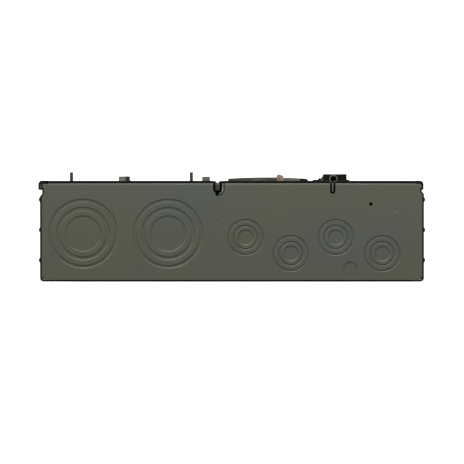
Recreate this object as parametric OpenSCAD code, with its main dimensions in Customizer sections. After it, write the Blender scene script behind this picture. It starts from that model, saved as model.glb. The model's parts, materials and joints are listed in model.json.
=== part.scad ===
// Residential load center: steel box, bus interior and a two-pole back-fed main breaker.
// +Z is up the wall, -Y faces the room, and the origin is the centre of the box's back face.
// Depths are measured forward from the back face, so a depth d is the plane y = -d.

/* [Enclosure] */
// Width of the box across its side walls
box_w = 362; // [356:1:440]
// Height of the box up the wall
box_h = 456; // [440:1:640]
// Depth of the box from its back face to its front lips
box_d = 95.25; // [92:0.25:120]
// Thickness of the box steel
sheet_t = 1.5; // [1.2:0.1:2]
// Outside radius of the bends
bend_r = 3.5; // [2.5:0.5:5]
// Reach of the front lip along each side wall
side_lip = 12; // [8:1:20]
// Height of the front lip of each end wall
end_lip = 16; // [12:1:24]
// How far the lips of the +X and -X side walls stand outside those walls
lip_out = [1.6, -0.4];
// Depth of the groove formed along each side wall
groove_in = 2; // [1.5:0.1:3.5]
// Widths of the grooves on the +X and -X sides
groove_w = [4, 1.8];
// Length of the slope behind a groove
groove_slope = 2.3; // [1.5:0.1:3]
// Distance of the groove from the front
groove_back = 8.5; // [7:0.5:14]
// Gap between an end wall and the sheet around it
sheet_gap = 0.2; // [0.1:0.05:0.5]

/* [Fixing holes] */
// Distance between the wall holes across the back
wall_hole_x = 254; // [220:1:300]
// Distance between the wall holes up the back
wall_hole_z = 380; // [340:1:420]
// Radius of a wall hole
wall_hole_r = 3.5; // [2.5:0.25:5]
// Distance between the stud holes up each side
stud_hole_z = 300; // [260:5:400]
// Depth of the stud holes from the back
stud_hole_d = 66; // [40:1:72]
// Radius of a stud hole
stud_hole_r = 2.5; // [2:0.25:3.5]
// Distance between the cover screw holes across an end lip
cover_hole_x = 260; // [200:5:320]
// Radius of a cover screw hole
cover_hole_r = 1.9; // [1.5:0.1:3]

/* [Knockouts] */
// Height of one knockout step
ko_step = 0.8; // [0.3:0.1:1]
// Slope of the wall between two steps
ko_slope = 0.8; // [0.2:0.1:1]
// Radii of the steps of a large knockout
ko_large = [33.1, 29.3, 25.4, 21.2, 17.3];
// Radii of the steps of a small knockout
ko_small = [17.45, 15.1, 12.15, 9.8, 7.4];
// Radius of a plain knockout
ko_plain = 6.5; // [4:0.5:9]
// Radius of the knockouts in the side walls
ko_side = 11.1; // [8:0.1:14]

/* [Interior] */
// Space between the top end wall and the interior
top_gutter = 108; // [90:1:160]
// Branch breaker spaces down each side
spaces_side = 6; // [4:1:8]
// Height of one breaker space
pitch = 25.4; // [25.4:0.1:27]
// How far the main breaker's crown stands in front of the box
main_proud = 5.45; // [2:0.05:9]
// Thickness of the interior pan
pan_t = 1.2; // [1:0.1:1.6]
// Width of the pan's feet
pan_foot = 12; // [10:1:16]
// Thickness of the bus bars
bus_t = 3; // [2:0.25:4]
// Width of a bus bar
bus_w = 14; // [12:0.5:16]
// Width of a stab blade
stab_w = 24; // [20:0.5:26]
// Thickness of a stab blade
stab_t = 2.4; // [2:0.1:3]

/* [Neutral] */
// Distance of each neutral bar from the outer ends of the breakers
neutral_gap = 32.7; // [31:0.1:36]
// Width of a neutral bar
neutral_w = 7; // [6:0.5:8]
// Depth of the neutral bar section
neutral_h = 9; // [8:0.5:12]
// Distance between terminal screws
screw_pitch = 8.5; // [8:0.25:11]
// Radius of a terminal screw head
screw_head_r = 2.9; // [2.5:0.1:3.4]
// Height of a terminal screw head
screw_head_h = 2.4; // [1.5:0.1:3]
// Radius of a wire hole in a neutral bar
wire_hole_r = 2.2; // [1.8:0.1:2.6]
// Radius of the wire bore in the main neutral lug
neutral_bore_r = 3; // [2.6:0.1:3.2]

/* [Main breaker] */
// Length of the breaker from its inner end to its outer end
case_l = 79.2; // [76:0.1:84]
// Height of the breaker from its seat to its crown
case_h = 66; // [62:0.5:70]
// Rise of the crown above the two ends
crown = 1.3; // [0.5:0.1:3]
// Wall thickness of the moulded case
case_wall = 2; // [1.6:0.1:2.6]
// Reach of the inner end past the centre line
case_over = 3.9; // [0:0.1:5]
// Height of the handle pivot above the seat
pivot_h = 52; // [50:0.5:54]
// Distance of the handle pivot from the inner end
pivot_u = 46; // [44:0.5:48]
// Length of the handle from its pivot to its tip
handle_l = 17.2; // [16:0.1:22]
// Lean of the handle from upright when it is off
handle_lean = 19; // [12:1:24]
// Angle that the handle turns through from off to on
handle_throw = 38; // [30:1:42]
// Radial clearance of a pin in its hole
pin_gap = 0.08; // [0.05:0.01:0.1]
// Gap between two moulded parts that stand side by side
part_gap = 0.3; // [0.2:0.05:0.6]

/* [Cover posts] */
// Radius of a cover support post
post_r = 1.7; // [1.2:0.1:2.5]
// How far the posts stand in front of the box
post_proud = 10.65; // [4:0.05:14]
// Distance of the outer post from the centre line
post_outer_x = 158.3; // [150:0.1:165]
// Distance of the inner post from the centre line
post_inner_x = 40.1; // [36:0.1:50]

/* [Hidden] */
$fn = 48;

half_w = box_w / 2;
half_h = box_h / 2;
olive = [0.345, 0.353, 0.306];
zinc = [0.66, 0.67, 0.69];
black = [0.09, 0.09, 0.1];
tin = [0.75, 0.74, 0.72];
copper = [0.72, 0.45, 0.32];

// front face of the grooves, as a depth
groove_front = box_d - groove_back;
// from the outer face of a side wall to the pieces folded against its inside
fold_gap = sheet_t + sheet_gap;

// interior levels, as depths; they hang from the front plane so the crown keeps its place
seat_d = box_d + main_proud - case_h;
neutral_x = case_l - case_over + neutral_gap;
pan_half_w = neutral_x + 10;
bus_top = seat_d - 1;
bus_low = bus_top - bus_t;
pan_top = bus_low - 8;
pan_low = pan_top - pan_t;
main_z1 = half_h - top_gutter;
main_z0 = main_z1 - 2 * pitch;
inner_z0 = main_z0 - spaces_side * pitch;
pan_z0 = inner_z0 - 9;
pan_z1 = main_z1 + 4;
neutral_top = box_d + main_proud - 2.1;
neutral_low = neutral_top - neutral_h;
neutral_z1 = main_z1;
neutral_z0 = inner_z0 - 8;
rail_x = case_l - case_over - 6;

// the slab from low to high along x, depth and z
module slab(x0, x1, d0, d1, z0, z1)
    translate([x0, -d1, z0]) cube([x1 - x0, d1 - d0, z1 - z0]);

// round bars along each axis
module bar_x(x0, x1, d, z, r)
    translate([x0, -d, z]) rotate([0, 90, 0]) cylinder(h = x1 - x0, r = r);
module bar_y(x, z, d0, d1, r)
    translate([x, -d1, z]) rotate([-90, 0, 0]) cylinder(h = d1 - d0, r = r);
module bar_z(x, d, z0, z1, r)
    translate([x, -d, z0]) cylinder(h = z1 - z0, r = r);

// an outline in x and depth, carried from z0 to z1
module along_z(z0, z1)
    translate([0, 0, z0]) linear_extrude(z1 - z0) mirror([0, 1]) children();

// points of an arc about (x, y) from angle a0 to a1
function arc(x, y, r, a0, a1, n = 6) =
    [for (i = [0:n]) let (a = a0 + (a1 - a0) * i / n) [x + r * cos(a), y + r * sin(a)]];

// slotted screw facing the room: shank from d0 to the head's underside at d1
module screw(x, z, d0, d1, r, head_r, head_h, slot = 0.9)
    difference() {
        union() {
            bar_y(x, z, d0, d1 + 0.01, r);
            bar_y(x, z, d1, d1 + head_h, head_r);
        }
        slab(x - head_r - 1, x + head_r + 1, d1 + head_h * 0.45, d1 + head_h + 1,
             z - slot / 2, z + slot / 2);
    }

// ---- enclosure ----

// outline of the formed sheet from the centre line to one side; k is 0 on the +X side, 1 on the -X side
module wrap_half(k) {
    lip_x = half_w + lip_out[k];
    rear = groove_front - groove_w[k];
    start = rear - groove_slope;
    inner_r = bend_r - sheet_t;
    lead = 0.4;
    polygon(concat(
        [[0, 0]],
        arc(half_w - bend_r, bend_r, bend_r, -90, 0),
        [[half_w, start], [half_w - groove_in, rear],
         [half_w - groove_in, groove_front], [lip_x, groove_front]],
        arc(lip_x - bend_r, box_d - bend_r, bend_r, 0, 90),
        [[half_w - side_lip, box_d], [half_w - side_lip, box_d - sheet_t]],
        arc(lip_x - bend_r, box_d - bend_r, inner_r, 90, 0),
        [[lip_x - sheet_t, groove_front + sheet_t],
         [half_w - groove_in - sheet_t, groove_front + sheet_t],
         [half_w - groove_in - sheet_t, rear - lead],
         [half_w - sheet_t, start - lead]],
        arc(half_w - bend_r, bend_r, inner_r, 0, -90),
        [[0, sheet_t]]));
}

rivet_depths = [20.2, 48.9, 77.5];
rivet_r = 2;
rivet_z = half_h - 8;

module wrap_sheet() {
    along_z(-half_h, half_h) wrap_half(0);
    mirror([1, 0, 0]) along_z(-half_h, half_h) wrap_half(1);
}

module box_wrap() {
    lip_cut = end_lip + bend_r + 1;
    color(olive) difference() {
        union() {
            wrap_sheet();
            for (sx = [-1, 1], sz = [-1, 1])
                translate([sx * (half_w - sheet_t), -40, sz * (half_h - 60)]) rotate([0, -90 * sx, 0])
                    cylinder(h = ko_step, r1 = ko_side, r2 = ko_side - 0.4);
        }
        for (sx = [-1, 1], sz = [-1, 1]) {
            translate([sx * half_w, -40, sz * (half_h - 60)]) rotate([0, -90 * sx, 0])
                cylinder(h = ko_step, r1 = ko_side, r2 = ko_side - 0.4);
            bar_y(sx * wall_hole_x / 2, sz * wall_hole_z / 2, -1, sheet_t + 1, wall_hole_r);
            bar_x(sx * half_w - 3, sx * half_w + 3, stud_hole_d, sz * stud_hole_z / 2, stud_hole_r);
            for (d = rivet_depths)
                bar_x(sx * half_w - 3, sx * half_w + 3, d, sz * rivet_z, rivet_r);
            for (z = [pan_screw_z0, pan_screw_z1])
                bar_y(sx * pan_screw_x, z, -1, sheet_t + 1, pan_screw_r + 0.1);
        }
        // the side lips stop short of the end walls, except for a strip along their outer corners
        for (sx = [-1, 1], sz = [-1, 1])
            translate([sx * (half_w - (corner_strip + 14) / 2), -box_d, sz * half_h])
                cube([14 - corner_strip, 2 * bend_r, 2 * lip_cut], center = true);
        bar_y(0, bond_z, -1, sheet_t + 1, bond_r + 0.1);
    }
}

pan_screw_x = pan_half_w + pan_foot / 2;
pan_screw_z0 = pan_z0 + 14;
pan_screw_z1 = pan_z1 - 14;
pan_screw_r = 2.1;
bond_r = 2.4;
bond_z = pan_z0 - 14;

// raised and lowered rings of a knockout, cut from the outer face
module ko_rings(radii, h, slope)
    for (i = [0:2:len(radii) - 1])
        difference() {
            cylinder(h = h, r1 = radii[i] - slope, r2 = radii[i]);
            if (i + 1 < len(radii))
                translate([0, 0, -1]) cylinder(h = h + 2, r1 = radii[i + 1] + slope, r2 = radii[i + 1]);
        }

// width of the side lips' corner strips beside the end walls' front bends
corner_strip = 7.5;
flange = 15;

// outline of an end wall's plate from the centre line to one side, inside the folds of the side wall
module plate_half(k) {
    side_in = half_w - fold_gap;
    fold_in = side_in - groove_in;
    relief = 2.8;
    rear = groove_front - groove_w[k] - 0.4;
    front_in = half_w + lip_out[k] - fold_gap - 1.2;
    polygon([
        [0, fold_gap], [side_in - relief, fold_gap], [side_in - relief, fold_gap + relief],
        [side_in, fold_gap + relief], [side_in, rear - groove_slope - sheet_gap], [fold_in, rear - sheet_gap],
        [fold_in, groove_front + fold_gap], [front_in, groove_front + fold_gap],
        [front_in, box_d - bend_r + 0.3], [half_w - corner_strip - 0.2, box_d - bend_r + 0.3],
        [half_w - corner_strip - 0.2, box_d - bend_r], [0, box_d - bend_r]]);
}

// end wall with its outer face at z = 0 and its flanges hanging below; flip is 1 on a wall turned end for end
module end_wall_blank(flip) {
    side_in = half_w - fold_gap;
    bend_half = half_w - corner_strip - 0.2;
    for (k = [0, 1]) {
        side = flip == k ? 1 : -1;
        mirror([side < 0 ? 1 : 0, 0, 0]) {
            along_z(-sheet_t, 0) plate_half(k);
            // side flange
            slab(side_in - sheet_t, side_in, fold_gap + 5,
                 groove_front - groove_w[k] - groove_slope - 0.65, -flange, 0);
        }
    }
    // back flange
    slab(-side_in + 8, side_in - 8, fold_gap, fold_gap + sheet_t, -flange, 0);
    // front bend and lip
    intersection() {
        difference() {
            bar_x(-bend_half, bend_half, box_d - bend_r, -bend_r, bend_r);
            bar_x(-bend_half - 1, bend_half + 1, box_d - bend_r, -bend_r, bend_r - sheet_t);
        }
        slab(-half_w, half_w, box_d - bend_r, box_d + 1, -bend_r, 1);
    }
    slab(-bend_half, bend_half, box_d - sheet_t, box_d, -end_lip - bend_r, -bend_r);
}

// spots on the end wall, as x and depth; the side knockouts keep their distance from the side walls
large_spots = [[half_w - 40.6, 45.4], [half_w - 120.8, 45.4]];
small_spots = [[168.3 - half_w, 41.8], [125.5 - half_w, 26.7], [83.2 - half_w, 41.8], [39.4 - half_w, 26.5]];
plain_spot = [69.6 - half_w, 12.5];
dimples = [[26 - half_w, 67], [15.6, 64.5], [14.6, 56.5], [86.3 - half_w, 79.2]];
pilot_spot = [50.1 - half_w, 73.2];
pilot_r = 1.6;
// notch at the front edge, with a sloped tab standing in it and a thin curved slit beside it
notch_x = 13.6;
notch_w = 8.5;
notch_deep = 12;
tab_w = 4.2;
slit_gap = 1.4;
slit_w = 0.9;
// second notch, with a flat tongue
tongue_x = 86.05 - half_w;
tongue_slot_w = 5;
tongue_w = 1.4;
tongue_deep = 12.4;
// level down to which both notches cut through the front bend
notch_low = -bend_r - 6;

// a slot open at the front with a round end, cut down to z0
module front_slot(x, w, deep, z0) {
    slab(x - w / 2, x + w / 2, box_d - deep + w / 2, box_d + 1, z0, 1);
    bar_z(x, box_d - deep + w / 2, z0, 1, w / 2);
}

// the ringed knockouts of an end wall; top is where their rings start
module knockouts(top) {
    for (s = large_spots)
        translate([s[0], -s[1], top]) ko_rings(ko_large, ko_step + 0.01, ko_slope);
    for (s = small_spots)
        translate([s[0], -s[1], top]) ko_rings(ko_small, ko_step + 0.01, ko_slope);
}

// vee through the front of the notch and the lip below it
module notch_vee(side)
    translate([notch_x, -box_d, 0]) rotate(45) cube([side, side, 2 * (end_lip + bend_r + 1)], center = true);

// the tab rises from the lip below the notch and slopes down to the rear
module notch_tab() {
    outer = [[0, notch_low - 1], [0, -2.2], [1.6, -0.6], [9.2, -4]];
    inner = [[9.2, -5.2], [2.6, -2.4], [sheet_t, -4], [sheet_t, notch_low - 1]];
    difference() {
        translate([notch_x - tab_w / 2, -box_d, 0]) rotate([90, 0, 90]) linear_extrude(tab_w)
            polygon(concat(outer, inner));
        notch_vee(3.2);
    }
}

module notch_cuts() {
    slit_r = notch_w / 2 + slit_gap;
    slit_d = box_d - notch_deep + notch_w / 2;
    front_slot(notch_x, notch_w, notch_deep, notch_low);
    front_slot(notch_x + 0.5, 3.2, notch_deep + 2.4, -sheet_t - 1);
    notch_vee(3.2);
    // slit: straight from the front, then a quarter turn under the notch
    slab(notch_x - slit_r - slit_w, notch_x - slit_r, slit_d, box_d + 1, notch_low, 1);
    intersection() {
        difference() {
            bar_z(notch_x, slit_d, -sheet_t - 1, 1, slit_r + slit_w);
            bar_z(notch_x, slit_d, -sheet_t - 2, 2, slit_r);
        }
        slab(notch_x - slit_r - 1, notch_x - 1, slit_d - slit_r - 1, slit_d + 0.1, -sheet_t - 1, 1);
    }
}

module end_wall(flip = 0) {
    notch_tab();
    difference() {
        union() {
            end_wall_blank(flip);
            knockouts(-sheet_t - ko_step);
            bar_z(plain_spot[0], plain_spot[1], -sheet_t - ko_step, -sheet_t + 0.01, ko_plain);
            // blind clinch nut behind the pilot hole
            bar_z(pilot_spot[0], pilot_spot[1], -sheet_t - 4, -sheet_t + 0.01, pilot_r + 1.4);
        }
        knockouts(-ko_step);
        bar_z(plain_spot[0], plain_spot[1], -ko_step, 1, ko_plain);
        bar_z(pilot_spot[0], pilot_spot[1], -sheet_t - 3, 1, pilot_r);
        for (s = dimples)
            translate([s[0], -s[1], -0.35]) cylinder(h = 0.36, r1 = 0.7, r2 = 1.3);
        notch_cuts();
        // the tongue hangs from the part of the lip that is left below its slot
        difference() {
            front_slot(tongue_x, tongue_slot_w, tongue_deep, notch_low);
            slab(tongue_x - tongue_w / 2, tongue_x + tongue_w / 2, box_d - tongue_deep + 2.2, box_d + 1,
                 notch_low - 1, 1);
        }
        for (sx = [-1, 1]) {
            bar_y(sx * cover_hole_x / 2, -bend_r - end_lip / 2, box_d - 3, box_d + 1, cover_hole_r);
            for (d = rivet_depths)
                bar_x(sx * half_w - 6, sx * half_w + 6, d, rivet_z - half_h, rivet_r);
        }
    }
}

// shallow black cup behind a notch of an end wall whose outer face is at z = 0
module notch_cup(x0, x1, d0) {
    wall = 1;
    low = -7;
    difference() {
        slab(x0 - wall, x1 + wall, d0 - wall, box_d - sheet_t - 0.1, low, -sheet_t - 0.01);
        slab(x0, x1, d0, box_d, low + wall, 1);
        slab(x0 - 2, x1 + 2, box_d - bend_r - 0.1, box_d, -bend_r - 0.1, 1);
        notch_vee(3.4);
    }
}
module both_cups() {
    notch_cup(notch_x - notch_w / 2 - slit_gap - slit_w - 0.5, notch_x + notch_w / 2 + 0.5,
              box_d - notch_deep - 3);
    notch_cup(tongue_x - tongue_slot_w / 2 - 0.5, tongue_x + tongue_slot_w / 2 + 0.5,
              box_d - tongue_deep - 0.5);
}
module notch_cups() color(black) {
    translate([0, 0, half_h]) both_cups();
    translate([0, 0, -half_h]) rotate([0, 180, 0]) both_cups();
}

module top_end_wall()
    color(olive) translate([0, 0, half_h]) end_wall();

// the lower end wall is the same pressing, turned end for end about the depth axis
module bottom_end_wall()
    color(olive) translate([0, 0, -half_h]) rotate([0, 180, 0]) end_wall(1);

// three rivets down each corner, through the side wall and the end wall's flange
module corner_rivets() {
    grip = 2 * sheet_t + sheet_gap;
    color(olive) for (sx = [-1, 1], sz = [-1, 1], d = rivet_depths)
        translate([sx * half_w, -d, sz * rivet_z]) rotate([0, 90 * sx, 0]) {
            translate([0, 0, -grip - 0.8]) cylinder(h = grip + 0.9, r = rivet_r - 0.02);
            translate([0, 0, -grip - 0.9]) cylinder(h = 0.9, r = rivet_r + 0.8);
            intersection() {
                translate([0, 0, -0.8]) sphere(r = 2.8);
                cylinder(h = 2, r = 4);
            }
        }
}

// ---- interior ----

module interior_pan() {
    foot_top = sheet_t + pan_t;
    outline = [[0, pan_top], [pan_half_w, pan_top], [pan_half_w, foot_top],
               [pan_half_w + pan_foot, foot_top], [pan_half_w + pan_foot, sheet_t],
               [pan_half_w - pan_t, sheet_t], [pan_half_w - pan_t, pan_low], [0, pan_low]];
    color(zinc) difference() {
        union() {
            along_z(pan_z0, pan_z1) polygon(outline);
            mirror([1, 0, 0]) along_z(pan_z0, pan_z1) polygon(outline);
        }
        for (sx = [-1, 1], z = [pan_screw_z0, pan_screw_z1])
            bar_y(sx * pan_screw_x, z, 0, foot_top + 1, pan_screw_r + 0.1);
        for (z = bus_screw_z)
            bar_y(0, z, pan_low - 1, pan_top + 1, 1.9);
        bar_y(hold_screw_x, hold_z, pan_low - 1, pan_top + 1, 2.1);
    }
}

bus_screw_z = [pan_z0 + 5, inner_z0 + 2 * pitch + 1, inner_z0 + 4 * pitch + 1, pan_z1 - 4];

module pan_screws()
    color(zinc) for (sx = [-1, 1], z = [pan_screw_z0, pan_screw_z1])
        screw(sx * pan_screw_x, z, 0.2, sheet_t + pan_t, pan_screw_r, 4.4, 3);

rail_t = 1.2;
rail_foot = 14;

// upright strip that the outer ends of the breakers hook over; side is -1 on the left, 1 on the right
module breaker_rail(side) {
    z1 = side < 0 ? main_z1 : main_z0;
    color(zinc) difference() {
        along_z(inner_z0, z1) mirror([side < 0 ? 1 : 0, 0])
            polygon([[rail_x - rail_foot, pan_top], [rail_x, pan_top], [rail_x, seat_d + 3.4],
                     [rail_x - rail_t, seat_d + 3.4], [rail_x - rail_t, pan_top + rail_t],
                     [rail_x - rail_foot, pan_top + rail_t]]);
        for (i = [0:spaces_side])
            slab(side * rail_x - 3, side * rail_x + 3, seat_d - 2, seat_d + 4,
                 inner_z0 + i * pitch - 1.5, inner_z0 + i * pitch + 1.5);
    }
}
module breaker_rail_left() breaker_rail(-1);
module breaker_rail_right() breaker_rail(1);

bus_x = 15;
insulator_half = 34;

module bus_insulator()
    color(black) difference() {
        union() {
            slab(-insulator_half, insulator_half, pan_top, bus_low, pan_z0 + 1, pan_z1 - 1);
            // ribs beside the bars
            for (sx = [-1, 1])
                slab(sx * (insulator_half - 1.5) - 1.5, sx * (insulator_half - 1.5) + 1.5,
                     bus_low - 0.01, bus_top - 0.5, pan_z0 + 1, pan_z1 - 1);
            // seats for the bus screws at the centre line
            for (z = bus_screw_z)
                bar_y(0, z, pan_top, bus_low, 4.2);
        }
        for (z = bus_screw_z)
            bar_y(0, z, pan_top - 1, bus_low + 1, 1.9);
        // pockets that lighten the moulding
        for (sx = [-1, 1], i = [0:spaces_side + 1])
            slab(sx * 19 - 9, sx * 19 + 9, pan_top - 1, pan_top + 4,
                 inner_z0 + i * pitch + 2, inner_z0 + (i + 1) * pitch - 2);
    }

// one phase: a bar along z, and a stab blade at the centre of every other space
module bus_bar(side, first) {
    foot_half = 4;
    color(tin) union() {
        slab(side * bus_x - bus_w / 2, side * bus_x + bus_w / 2, bus_low, bus_top,
             inner_z0 + 2, main_z1 - 2);
        for (i = [first:2:spaces_side + 1]) {
            z = inner_z0 + (i + 0.5) * pitch;
            far = -side * foot_half;
            near = side * (bus_x + bus_w / 2);
            slab(min(near, far), max(near, far), bus_low, bus_top, z - 6, z + 6);
            slab(min(side * stab_w / 2, far), max(side * stab_w / 2, far), bus_top - 0.01, bus_top + 3,
                 z - stab_t / 2, z + stab_t / 2);
            slab(-stab_w / 2, stab_w / 2, bus_top + 1.5, bus_top + 14, z - stab_t / 2, z + stab_t / 2);
        }
    }
}
module bus_bar_a() bus_bar(-1, 0);
module bus_bar_b() bus_bar(1, 1);

module bus_screws()
    color(zinc) for (z = bus_screw_z)
        screw(0, z, pan_low - 2, bus_low, 1.85, 3.2, 2, 0.8);

// ---- neutral ----

// moulded channel that carries a neutral bar in front of the pan; side is -1 on the left
module neutral_support(side) {
    web = 3;
    bar_half = neutral_w / 2;
    ends = [neutral_z0 + 23, main_z0 - pitch / 2];
    color(black) difference() {
        union() {
            // channel around the bar
            slab(side * neutral_x - bar_half - web, side * neutral_x + bar_half + web,
                 neutral_low - web, neutral_low + 3, neutral_z0, neutral_z1 - 2);
            // two legs with feet
            for (z = ends) {
                slab(side * neutral_x - bar_half - web, side * neutral_x + bar_half + web,
                     pan_top, neutral_low - web + 0.01, z - 9, z + 9);
                slab(side * neutral_x - 9, side * neutral_x + 9, pan_top, pan_top + 3, z - 14, z + 14);
            }
            // stiffening rib between the legs
            slab(side * neutral_x - web / 2, side * neutral_x + web / 2, neutral_low - 16,
                 neutral_low - web + 0.01, ends[0], ends[1]);
        }
        slab(side * neutral_x - bar_half, side * neutral_x + bar_half, neutral_low, neutral_low + 9,
             neutral_z0 - 1, neutral_z1 + 1);
        bar_y(side * neutral_x, neutral_z0 + 5, neutral_low - 9, neutral_low + 1, 2.1);
        // windows in the legs
        for (z = ends)
            slab(side * neutral_x - 20, side * neutral_x + 20, pan_top + 12, neutral_low - 20,
                 z - 5.5, z + 5.5);
    }
}
module neutral_support_left() neutral_support(-1);
module neutral_support_right() neutral_support(1);

terminal_count = floor((neutral_z1 - neutral_z0 - 40) / screw_pitch);
function terminal_z(i) = neutral_z0 + 12 + i * screw_pitch;
terminal_r = 1.8;

module neutral_bar(side)
    color(tin) difference() {
        slab(side * neutral_x - neutral_w / 2, side * neutral_x + neutral_w / 2, neutral_low, neutral_top,
             neutral_z0, neutral_z1);
        for (i = [0:terminal_count - 1]) {
            bar_x(side * neutral_x - neutral_w, side * neutral_x + neutral_w, neutral_low + 5.4,
                  terminal_z(i), wire_hole_r);
            bar_y(side * neutral_x, terminal_z(i), neutral_low + 5.4, neutral_top + 1, terminal_r + 0.05);
        }
        bar_y(side * neutral_x, neutral_z0 + 5, neutral_low - 1, neutral_top + 1, 2.1);
        bar_y(side * neutral_x, end_lug_z, end_lug_low, neutral_top + 1, end_screw_r + 0.05);
    }
module neutral_bar_left() neutral_bar(-1);
module neutral_bar_right() neutral_bar(1);

module neutral_screws(side)
    color(zinc) for (i = [0:terminal_count - 1])
        screw(side * neutral_x, terminal_z(i), neutral_low + 7.2, neutral_top, terminal_r, screw_head_r,
              screw_head_h - 0.3);
module neutral_screws_left() neutral_screws(-1);
module neutral_screws_right() neutral_screws(1);

// larger lug hooked over the upper end of the right bar
end_lug_z = neutral_z1 - 7.5;
end_lug_low = neutral_low + 4;
end_screw_r = 2.2;
module neutral_end_lug() {
    bar_edge = neutral_x - neutral_w / 2;
    wing = 3.8;
    plate = 3.1;
    color(tin) difference() {
        union() {
            slab(bar_edge - wing, neutral_x + neutral_w / 2, neutral_top, neutral_top + plate,
                 neutral_z1 - 14, neutral_z1 - 0.5);
            slab(bar_edge - wing, bar_edge, end_lug_low, neutral_top + plate,
                 neutral_z1 - 14, neutral_z1 - 0.5);
        }
        bar_y(neutral_x, end_lug_z, neutral_top - 1, neutral_top + plate + 1, end_screw_r + 0.05);
    }
}
module end_lug_screw()
    color(zinc) difference() {
        bar_y(neutral_x, end_lug_z, end_lug_low + 0.3, neutral_top + 2, end_screw_r);
        slab(neutral_x - 3, neutral_x + 3, neutral_top + 1, neutral_top + 3,
             end_lug_z - 0.4, end_lug_z + 0.4);
    }

// aluminium strap joining the two bars below the breakers
strap_t = 2.5;
strap_z0 = pan_z0 - 22;
strap_z1 = pan_z0 - 3;
strap_low = sheet_t + 10;

module neutral_cross_strap() {
    out = neutral_x + 3;
    color(tin) difference() {
        union() {
            slab(-out, out, strap_low, strap_low + strap_t, strap_z0, strap_z1);
            for (sx = [-1, 1]) {
                slab(sx * (out - strap_t / 2) - strap_t / 2, sx * (out - strap_t / 2) + strap_t / 2,
                     strap_low, neutral_low - 3.2, strap_z0, strap_z1);
                slab(sx * (neutral_x - 0.5) - 3.5, sx * (neutral_x - 0.5) + 3.5, neutral_low - 3.2 - strap_t,
                     neutral_low - 3.2, strap_z1 - 0.01, neutral_z0 + 9.5);
            }
        }
        for (sx = [-1, 1])
            bar_y(sx * neutral_x, neutral_z0 + 5, neutral_low - 9, neutral_low, 2.1);
        bar_y(0, bond_z, strap_low - 1, strap_low + strap_t + 1, bond_r + 0.1);
        for (sx = [-1, 1])
            bar_y(sx * 14, bond_z, strap_low - 1, strap_low + strap_t + 1, 2.1);
    }
}

module strap_insulator()
    color(black) difference() {
        slab(-22, 22, sheet_t, strap_low, strap_z0 + 2, strap_z1 - 2);
        bar_y(0, bond_z, 0, strap_low + 1, bond_r + 0.6);
        for (sx = [-1, 1])
            bar_y(sx * 14, bond_z, 4, strap_low + 1, 2.05);
    }

module strap_bolts()
    color(zinc) {
        for (sx = [-1, 1])
            screw(sx * neutral_x, neutral_z0 + 5, neutral_low - 3.2 - strap_t - 1.5, neutral_top,
                  2.05, 3.1, 2.1);
        for (sx = [-1, 1])
            screw(sx * 14, bond_z, 5, strap_low + strap_t, 2, 3.6, 2.2);
    }

// green bonding screw, through the strap into the box
module bonding_screw()
    color([0.05, 0.42, 0.18]) screw(0, bond_z, 0.2, strap_low + strap_t, bond_r, 4.6, 3.2, 1.2);

// ---- main neutral lug, at the top of the left bar ----
lug_x = -neutral_x + 8.2;
lug_barrel_r = 4.1;
cover_proud = 8.55;
lug_d = box_d + cover_proud - lug_barrel_r - 0.4;
lug_bore_d = lug_d - 0.4;
lug_z = neutral_z1 - 10;
cover_x0 = -neutral_x - 4.8;
cover_x1 = -neutral_x + 18;
cover_z0 = neutral_z1 - 26;
cover_top = box_d + cover_proud;

module neutral_lug()
    color(tin) difference() {
        union() {
            bar_z(lug_x, lug_d, cover_z0 + 2, neutral_z1 + 2, lug_barrel_r);
            slab(-neutral_x + neutral_w / 2, lug_x + lug_barrel_r, neutral_low + 3.3, lug_d - 1,
                 cover_z0 + 2, neutral_z1 - 1);
        }
        bar_z(lug_x, lug_bore_d, cover_z0 + 1, neutral_z1 + 3, neutral_bore_r);
        bar_y(lug_x, lug_z, lug_d, lug_d + 6, 2.55);
    }

module neutral_lug_screw()
    color(zinc) union() {
        // set screw with a slot, standing in its tapped hole
        difference() {
            bar_y(lug_x, lug_z, lug_bore_d + neutral_bore_r + 0.1, cover_top - 0.1, 2.5);
            slab(lug_x - 4, lug_x + 4, cover_top - 0.8, cover_top + 1, lug_z - 0.4, lug_z + 0.4);
        }
    }

// black housing around the lug, with a sloped shoulder towards the breaker and a thin base
module neutral_lug_cover() {
    inner_low = neutral_low + 0.4;
    color(black) difference() {
        union() {
            slab(cover_x0, cover_x1, inner_low, cover_top, cover_z0, neutral_z1 + 1.2);
            along_z(cover_z0 + 4, neutral_z1) polygon([
                [cover_x1 - 0.01, cover_top - 7], [cover_x1 - 0.01, cover_top - 1.2],
                [cover_x1 + 4.5, cover_top - 6.6], [cover_x1 + 4.5, cover_top - 7]]);
            slab(cover_x0 - 2.8, cover_x1 + 10, cover_top - 7.4, cover_top - 5.4,
                 cover_z0 + 2, neutral_z1 - 2);
            slab(cover_x1 + 2.8, cover_x1 + 5, cover_top - 6, cover_top - 4, neutral_z1 - 7, neutral_z1 - 1);
        }
        // pocket for the bar, wider below for its channel
        slab(-neutral_x - neutral_w / 2 - 0.1, -neutral_x + neutral_w / 2 + 0.02,
             inner_low - 1, neutral_top + 0.3, cover_z0 - 1, neutral_z1 + 0.05);
        slab(-neutral_x - 20, -neutral_x + neutral_w / 2 + 3.2, inner_low - 1, neutral_low + 3.2,
             cover_z0 - 1, neutral_z1 + 0.05);
        slab(-neutral_x, lug_x + lug_barrel_r, inner_low - 1, lug_d - 1, cover_z0 + 1.9, neutral_z1 - 1);
        // barrel room, closed at its lower end
        bar_z(lug_x, lug_d, cover_z0 + 1.9, neutral_z1 + 3, lug_barrel_r + 0.1);
        bar_y(lug_x, lug_z, lug_d, cover_top + 1, 3);
    }
}

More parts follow.
